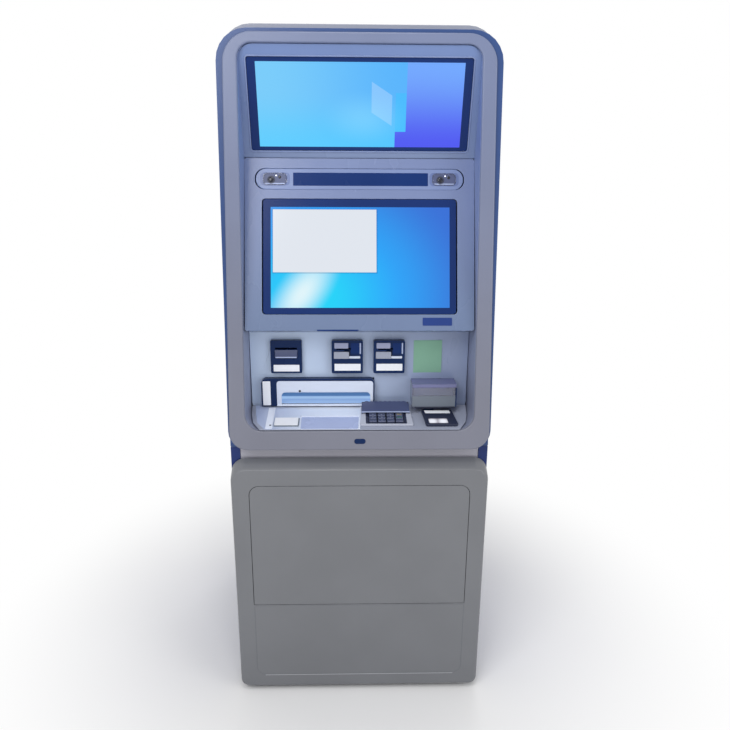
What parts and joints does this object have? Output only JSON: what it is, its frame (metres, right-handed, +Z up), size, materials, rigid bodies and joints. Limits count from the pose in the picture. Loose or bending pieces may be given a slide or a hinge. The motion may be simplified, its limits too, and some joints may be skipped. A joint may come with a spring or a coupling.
{
  "type": "atm machine",
  "caption": "Free-standing cash machine with a leaning fascia, two displays, card, receipt and cash slots, keypad deck, and a safe behind the lower door.",
  "frame": {"origin": "on the floor, under the middle of the machine's box", "axes": "+Z up, the customer stands on the -Y side, +X to the customer's right"},
  "size_m": [0.7, 0.8, 1.843],
  "materials": {
    "light_plastic": "glossy light grey moulding",
    "housing_paint": "satin light grey powder coat",
    "blue_paint": "satin deep blue",
    "grey_paint": "satin mid grey",
    "white_plastic": "glossy white",
    "dark_bezel": "glossy dark navy",
    "display_module": "black glass front",
    "clear_plastic": "clear, smoked",
    "safe_steel": "textured dark grey paint",
    "zinc": "satin zinc",
    "black_plastic": "matt black",
    "module_case": "matt grey",
    "key_metal": "satin metal",
    "paper": "plain paper",
    "rubber": "matt black"
  },
  "bodies": {
    "cabinet": {"plinth": "safe_steel", "foot_front_left": "rubber", "foot_front_right": "rubber", "foot_rear_left": "rubber", "foot_rear_right": "rubber", "safe_box": "safe_steel", "cassette_1": "module_case", "cassette_2": "module_case", "cassette_3": "module_case", "lower_shell": "blue_paint", "neck_panel": "grey_paint", "upper_housing": "housing_paint", "cash_recycler": "module_case", "industrial_pc": "black_plastic"},
    "lower_door": {"door_cover": "grey_paint", "safe_door": "safe_steel"},
    "flap": {"lock_flap": "grey_paint"},
    "handle": {"safe_handle": "zinc"},
    "dial": {"lock_dial": "black_plastic"},
    "bolts": {"bolt_bar": "zinc"},
    "rear_door": {"rear_door": "housing_paint"},
    "rear_latch": {"rear_handle": "zinc"},
    "fan": {"fan_rotor": "black_plastic"},
    "fascia": {"front_frame": "light_plastic", "ad_panel": "light_plastic", "screen_panel": "light_plastic", "reader_wall": "light_plastic", "fascia_rim": "blue_paint", "deck": "white_plastic", "cash_slot_frame": "dark_bezel", "proximity_sensor": "dark_bezel", "code_scanner": "dark_bezel", "ad_display": "display_module", "main_display": "display_module", "camera_left": "display_module", "camera_right": "display_module", "document_hood": "clear_plastic", "camera_bar": "clear_plastic", "card_reader_left": "black_plastic", "card_reader_right": "black_plastic", "receipt_printer": "black_plastic", "keypad_body": "black_plastic"},
    "roll": {"paper_roll": "paper"},
    "shutter": {"cash_shutter": "white_plastic"},
    "key_1": {"key_1": "key_metal"},
    "key_2": {"key_2": "key_metal"},
    "key_3": {"key_3": "key_metal"},
    "key_cancel": {"key_cancel": "key_metal"},
    "key_4": {"key_4": "key_metal"},
    "key_5": {"key_5": "key_metal"},
    "key_6": {"key_6": "key_metal"},
    "key_correct": {"key_correct": "key_metal"},
    "key_7": {"key_7": "key_metal"},
    "key_8": {"key_8": "key_metal"},
    "key_9": {"key_9": "key_metal"},
    "key_enter": {"key_enter": "key_metal"},
    "key_left": {"key_left": "key_metal"},
    "key_0": {"key_0": "key_metal"},
    "key_right": {"key_right": "key_metal"},
    "key_blank": {"key_blank": "key_metal"}
  },
  "joints": [
    {"name": "lower_door_swing", "type": "hinge", "parent": "cabinet", "child": "lower_door", "pos_m": [0.35, -0.3655, 0.3775], "axis": [0, 0, 1], "range_deg": [0, 110]},
    {"name": "flap_swing", "type": "hinge", "parent": "lower_door", "child": "flap", "pos_m": [0, -0.4, 0.2985], "axis": [1, 0, 0], "range_deg": [0, 95]},
    {"name": "handle_turn", "type": "hinge", "parent": "lower_door", "child": "handle", "pos_m": [-0.12, -0.364, 0.46], "axis": [0, -1, 0], "range_deg": [0, 90]},
    {"name": "bolt_throw", "type": "slide", "parent": "lower_door", "child": "bolts", "axis": [-1, 0, 0], "range_m": [0, 0.018]},
    {"name": "dial_spin", "type": "hinge", "parent": "lower_door", "child": "dial", "pos_m": [0.1, -0.364, 0.46], "axis": [0, -1, 0], "continuous": true},
    {"name": "rear_door_swing", "type": "hinge", "parent": "cabinet", "child": "rear_door", "pos_m": [0.3455, 0.397, 1.315], "axis": [0, 0, -1], "range_deg": [0, 120]},
    {"name": "rear_latch_turn", "type": "hinge", "parent": "rear_door", "child": "rear_latch", "pos_m": [-0.31, 0.397, 1.3], "axis": [0, 1, 0], "range_deg": [0, 90]},
    {"name": "fan_spin", "type": "hinge", "parent": "rear_door", "child": "fan", "pos_m": [0, 0.377, 1.622], "axis": [0, 1, 0], "continuous": true},
    {"name": "fascia_swing", "type": "hinge", "parent": "cabinet", "child": "fascia", "pos_m": [0.35, -0.1965, 1.3], "axis": [0, 0, 1], "range_deg": [0, 100]},
    {"name": "paper_roll_spin", "type": "hinge", "parent": "fascia", "child": "roll", "pos_m": [-0.201, -0.138, 0.998], "axis": [1, 0, 0], "continuous": true},
    {"name": "shutter_slide", "type": "slide", "parent": "fascia", "child": "shutter", "axis": [0, 0, -1], "range_m": [0, 0.0325]},
    {"name": "key_1_press", "type": "slide", "parent": "fascia", "child": "key_1", "axis": [0, 0.1805, -0.9836], "range_m": [0, 0.002], "stiffness_N_per_m": 400},
    {"name": "key_2_press", "type": "slide", "parent": "fascia", "child": "key_2", "axis": [0, 0.1805, -0.9836], "range_m": [0, 0.002], "stiffness_N_per_m": 400},
    {"name": "key_3_press", "type": "slide", "parent": "fascia", "child": "key_3", "axis": [0, 0.1805, -0.9836], "range_m": [0, 0.002], "stiffness_N_per_m": 400},
    {"name": "key_cancel_press", "type": "slide", "parent": "fascia", "child": "key_cancel", "axis": [0, 0.1805, -0.9836], "range_m": [0, 0.002], "stiffness_N_per_m": 400},
    {"name": "key_4_press", "type": "slide", "parent": "fascia", "child": "key_4", "axis": [0, 0.1805, -0.9836], "range_m": [0, 0.002], "stiffness_N_per_m": 400},
    {"name": "key_5_press", "type": "slide", "parent": "fascia", "child": "key_5", "axis": [0, 0.1805, -0.9836], "range_m": [0, 0.002], "stiffness_N_per_m": 400},
    {"name": "key_6_press", "type": "slide", "parent": "fascia", "child": "key_6", "axis": [0, 0.1805, -0.9836], "range_m": [0, 0.002], "stiffness_N_per_m": 400},
    {"name": "key_correct_press", "type": "slide", "parent": "fascia", "child": "key_correct", "axis": [0, 0.1805, -0.9836], "range_m": [0, 0.002], "stiffness_N_per_m": 400},
    {"name": "key_7_press", "type": "slide", "parent": "fascia", "child": "key_7", "axis": [0, 0.1805, -0.9836], "range_m": [0, 0.002], "stiffness_N_per_m": 400},
    {"name": "key_8_press", "type": "slide", "parent": "fascia", "child": "key_8", "axis": [0, 0.1805, -0.9836], "range_m": [0, 0.002], "stiffness_N_per_m": 400},
    {"name": "key_9_press", "type": "slide", "parent": "fascia", "child": "key_9", "axis": [0, 0.1805, -0.9836], "range_m": [0, 0.002], "stiffness_N_per_m": 400},
    {"name": "key_enter_press", "type": "slide", "parent": "fascia", "child": "key_enter", "axis": [0, 0.1805, -0.9836], "range_m": [0, 0.002], "stiffness_N_per_m": 400},
    {"name": "key_left_press", "type": "slide", "parent": "fascia", "child": "key_left", "axis": [0, 0.1805, -0.9836], "range_m": [0, 0.002], "stiffness_N_per_m": 400},
    {"name": "key_0_press", "type": "slide", "parent": "fascia", "child": "key_0", "axis": [0, 0.1805, -0.9836], "range_m": [0, 0.002], "stiffness_N_per_m": 400},
    {"name": "key_right_press", "type": "slide", "parent": "fascia", "child": "key_right", "axis": [0, 0.1805, -0.9836], "range_m": [0, 0.002], "stiffness_N_per_m": 400},
    {"name": "key_blank_press", "type": "slide", "parent": "fascia", "child": "key_blank", "axis": [0, 0.1805, -0.9836], "range_m": [0, 0.002], "stiffness_N_per_m": 400}
  ],
  "couplings": [
    {"joint": "bolt_throw", "follows": "handle_turn", "m_per_rad": 0.011459}
  ]
}
